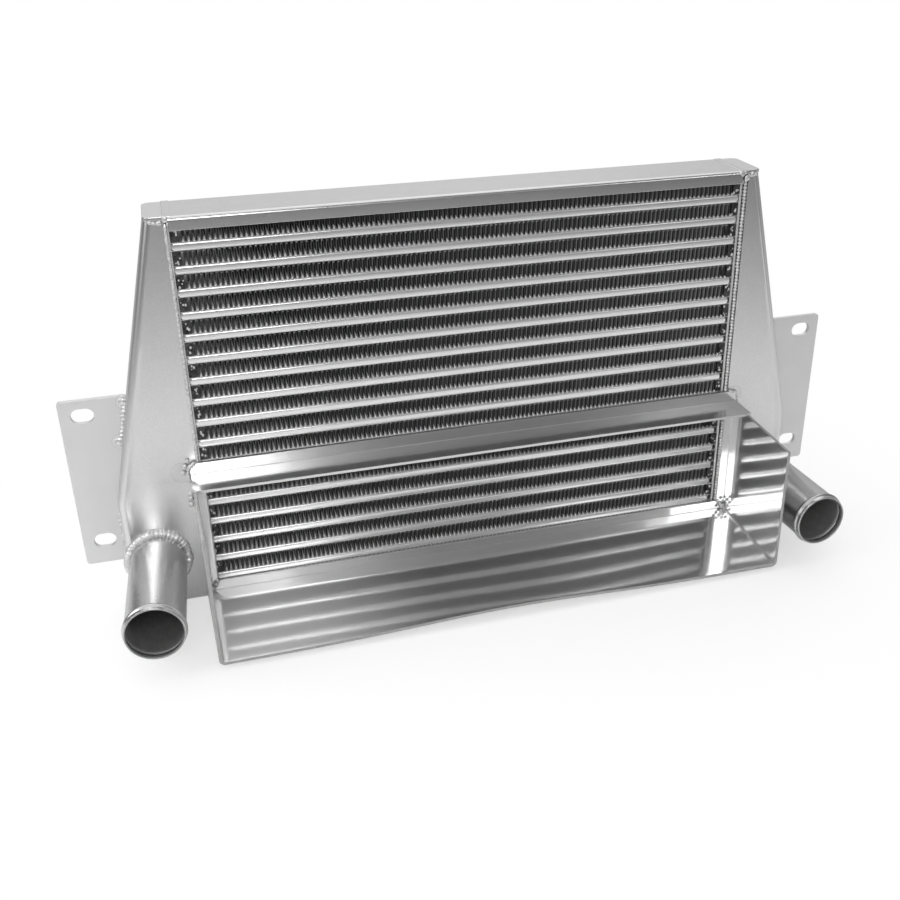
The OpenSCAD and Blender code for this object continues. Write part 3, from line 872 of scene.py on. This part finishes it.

# Blobs, listed one by one: place and radius in mm
blobs = {
    "plate_spots": ((-276, -8, 177, 3.6), (-283, -8, 144, 4.0)),
    "corner_drops": ((-226.5, -23.6, 318.2, 2.4), (-224.6, -23.8, 314.6, 1.8),
                     (-230.5, -23, 315.8, 1.8), (224, -24, 317.5, 2.8), (229.5, -23.2, 314, 2.6),
                     (234.5, -23, 316.5, 2.2), (224.5, -24, 311, 2.0), (227.5, -23.6, 318.5, 1.6)),
    "strip_drops": ((-237.5, -23.4, 122, 2.6), (-239.0, -23.2, 117, 2.0), (-235, -23.6, 127, 2.0),
                    (-236, -22.4, 97, 2.4), (-236.5, -22.4, 93, 2.6), (-236.5, -22.4, 88, 2.4),
                    (238, -23.4, 122, 2.4), (241.5, -22.8, 112, 1.6)),
    "duct_corner_drops": ((-229.5, -27.5, 9, 2.6), (-226.5, -28, 12.5, 1.7),
                          (-224, -27.8, 15, 1.4), (-229.5, -27.8, 15.5, 1.6),
                          (234.5, -27.5, 9, 2.6), (231.5, -28, 12.5, 1.7),
                          (229, -27.8, 15, 1.4), (234.5, -27.8, 15.5, 1.6),
                          (-227, -30, 6.6, 1.3), (232, -30, 6.6, 1.3)),
}
for name, places in blobs.items():
    drops("weld_" + name, [(Vector(place[:3]) * mm, place[3] * mm) for place in places], weldMetal,
          (1, 0.45, 1))
# Beads round the ends of the strip above the duct, in mm
stripBeads = {
    "left": {"line": ((-229, -24.8, 126.0), (-234, -24.0, 122), (-235.6, -23.6, 115),
                      (-235.0, -24.0, 108)),
             "radius": 1.9, "ripple": 3.4, "depth": 0.25, "wander": 0.3, "seed": 12},
    "right": {"line": ((231, -24.6, 126.2), (238, -24.2, 123), (240.2, -24.0, 114)),
              "radius": 1.5, "ripple": 3, "depth": 0.3, "wander": 0.2, "seed": 13},
}
for side, bead in stripBeads.items():
    weldBead(f"weld_{side}_strip", [Vector(place) * mm for place in bead["line"]],
             bead["radius"] * mm, ripple=bead["ripple"] * mm, depth=bead["depth"],
             wander=bead["wander"], seed=bead["seed"])
print("welds laid")


camera = {
    "place": (-0.2207, -0.8147, 0.5235),
    "right": (0.96011, -0.27948, -0.00838),
    "up": (0.13064, 0.42186, 0.8972),
    "back": (-0.24722, -0.86251, 0.44155),
    "lens": 43.82,
    "shift": (-0.03806, -0.02129),
}
cameraData = bpy.data.cameras.new("camera")
cameraData.sensor_width = 36
cameraData.lens = camera["lens"]
cameraData.shift_x, cameraData.shift_y = camera["shift"]
cameraData.clip_start = 0.01
cameraObject = bpy.data.objects.new("camera", cameraData)
turn = Matrix((camera["right"], camera["up"], camera["back"])).transposed().to_4x4()
cameraObject.matrix_world = Matrix.Translation(camera["place"]) @ turn
bpy.context.scene.collection.objects.link(cameraObject)
bpy.context.scene.camera = cameraObject
bpy.context.scene.view_settings.view_transform = "Standard"

studio = {
    "floorSize": 8.0,
    "floorLevel": -0.4 * mm,
    "softboxes": {             # place, aim, width, height, watts
        "overhead": ((-0.2, 0.4, 1.7), (0, 0, 0.1), 3.6, 2.4, 24),
        "frontLeft": ((-0.36, -1.32, 0.97), (0, 0, 0.12), 0.62, 0.55, 7),
        "frontRight": ((0.85, -1.17, 1.02), (0.1, 0, 0.12), 0.26, 0.36, 0.9),
        "left": ((-1.5, -0.3, 0.8), (-0.2, 0, 0.15), 0.9, 0.9, 7),
    },
    # a direction or a place in metres, from and to, and the brightness at either
    "roomDepth": (0.2, 0.92, 0.20, 0.72),    # the room as metal sees it, from front to back
    "roomLeft": (-0.45, -0.1, 0.35, 1.0),
    "roomLight": 0.45,                       # what matte surfaces get from it
    "floorFront": (-1.05, -0.30, 0.20, 0.92),    # the floor as metal sees it
    "floorBehind": (-0.05, 0.15, 1.0, 0.6),
    "floorLeft": (-0.95, -0.42, 0.55, 1.0),
    "floorPaint": 0.99,
    "floorFade": (0.27, 0.48, 0.5, 1.0),     # from its shadows to plain white, outwards
}


def softbox(name, place, aim, width, height, watts):
    data = bpy.data.lights.new(name, "AREA")
    data.shape = "RECTANGLE"
    data.size, data.size_y = width, height
    data.energy = watts
    lamp = bpy.data.objects.new(name, data)
    lamp.location = place
    lamp.rotation_euler = (Vector(aim) - Vector(place)).to_track_quat("-Z", "Y").to_euler()
    bpy.context.scene.collection.objects.link(lamp)


for name, values in studio["softboxes"].items():
    softbox(name, *values)


# White for the camera; metal sees it too, darker towards the room in front
def studioWorld():
    world = bpy.data.worlds.new("studio")
    bpy.context.scene.world = world
    world.use_nodes = True
    tree = world.node_tree
    tree.nodes.clear()
    direction = addNode(tree, "ShaderNodeTexCoord").outputs["Generated"]
    parts = addNode(tree, "ShaderNodeSeparateXYZ", {"Vector": direction})
    depth = addNode(tree, "ShaderNodeMapRange", ranged(parts.outputs["Y"], studio["roomDepth"]))
    side = addNode(tree, "ShaderNodeMapRange", ranged(parts.outputs["X"], studio["roomLeft"]))
    mirrored = addNode(tree, "ShaderNodeMath", {
        0: depth.outputs["Result"], 1: side.outputs["Result"]}, operation="MULTIPLY")
    path = addNode(tree, "ShaderNodeLightPath")
    strength = addNode(tree, "ShaderNodeMix", {
        "Factor": path.outputs["Is Glossy Ray"], 2: studio["roomLight"], 3: mirrored.outputs[0]},
        data_type="FLOAT")
    shown = addNode(tree, "ShaderNodeMix", {
        "Factor": path.outputs["Is Camera Ray"], 2: strength.outputs[0], 3: 1.0},
        data_type="FLOAT")
    light = addNode(tree, "ShaderNodeBackground", {
        "Color": linearColor("#FFFFFF"), "Strength": shown.outputs[0]})
    addNode(tree, "ShaderNodeOutputWorld", {"Surface": light.outputs["Background"]})


studioWorld()


# White painted board: lit near the object, and plain white to the camera further off
def floorMaterial():
    material = bpy.data.materials.new("whitePaintedFloor")
    material.use_nodes = True
    tree = material.node_tree
    tree.nodes.clear()
    place = addNode(tree, "ShaderNodeTexCoord").outputs["Object"]
    far = addNode(tree, "ShaderNodeVectorMath", {0: place}, operation="LENGTH")
    parts = addNode(tree, "ShaderNodeSeparateXYZ", {"Vector": place})
    path = addNode(tree, "ShaderNodeLightPath")
    front = addNode(tree, "ShaderNodeMapRange", ranged(parts.outputs["Y"], studio["floorFront"]))
    behind = addNode(tree, "ShaderNodeMapRange", ranged(parts.outputs["Y"], studio["floorBehind"]))
    beside = addNode(tree, "ShaderNodeMapRange", ranged(parts.outputs["X"], studio["floorLeft"]))
    reach = addNode(tree, "ShaderNodeMath", {
        0: front.outputs["Result"], 1: behind.outputs["Result"]}, operation="MULTIPLY")
    reach = addNode(tree, "ShaderNodeMath", {
        0: reach.outputs[0], 1: beside.outputs["Result"]}, operation="MULTIPLY")
    albedo = addNode(tree, "ShaderNodeMix", {
        "Factor": path.outputs["Is Camera Ray"], 2: reach.outputs[0], 3: studio["floorPaint"]},
        data_type="FLOAT")
    paint = addNode(tree, "ShaderNodeBsdfDiffuse", {"Color": albedo.outputs[0]})
    white = addNode(tree, "ShaderNodeEmission", {"Color": linearColor("#FFFFFF"), "Strength": 1.0})
    fade = addNode(tree, "ShaderNodeMapRange", ranged(far.outputs["Value"], studio["floorFade"]))
    seen = addNode(tree, "ShaderNodeMath", {
        0: fade.outputs["Result"], 1: path.outputs["Is Camera Ray"]}, operation="MULTIPLY")
    mixed = addNode(tree, "ShaderNodeMixShader", {
        "Fac": seen.outputs[0], 1: paint.outputs["BSDF"], 2: white.outputs["Emission"]})
    addNode(tree, "ShaderNodeOutputMaterial", {"Surface": mixed.outputs["Shader"]})
    return material


bm = bmesh.new()
bmesh.ops.create_grid(bm, x_segments=1, y_segments=1, size=studio["floorSize"] / 2)
bmesh.ops.translate(bm, verts=bm.verts, vec=(0, 0, studio["floorLevel"]))
mesh = bpy.data.meshes.new("floor")
bm.to_mesh(mesh)
bm.free()
mesh.materials.append(floorMaterial())
floor = bpy.data.objects.new("floor", mesh)
bpy.context.scene.collection.objects.link(floor)
print("studio set")
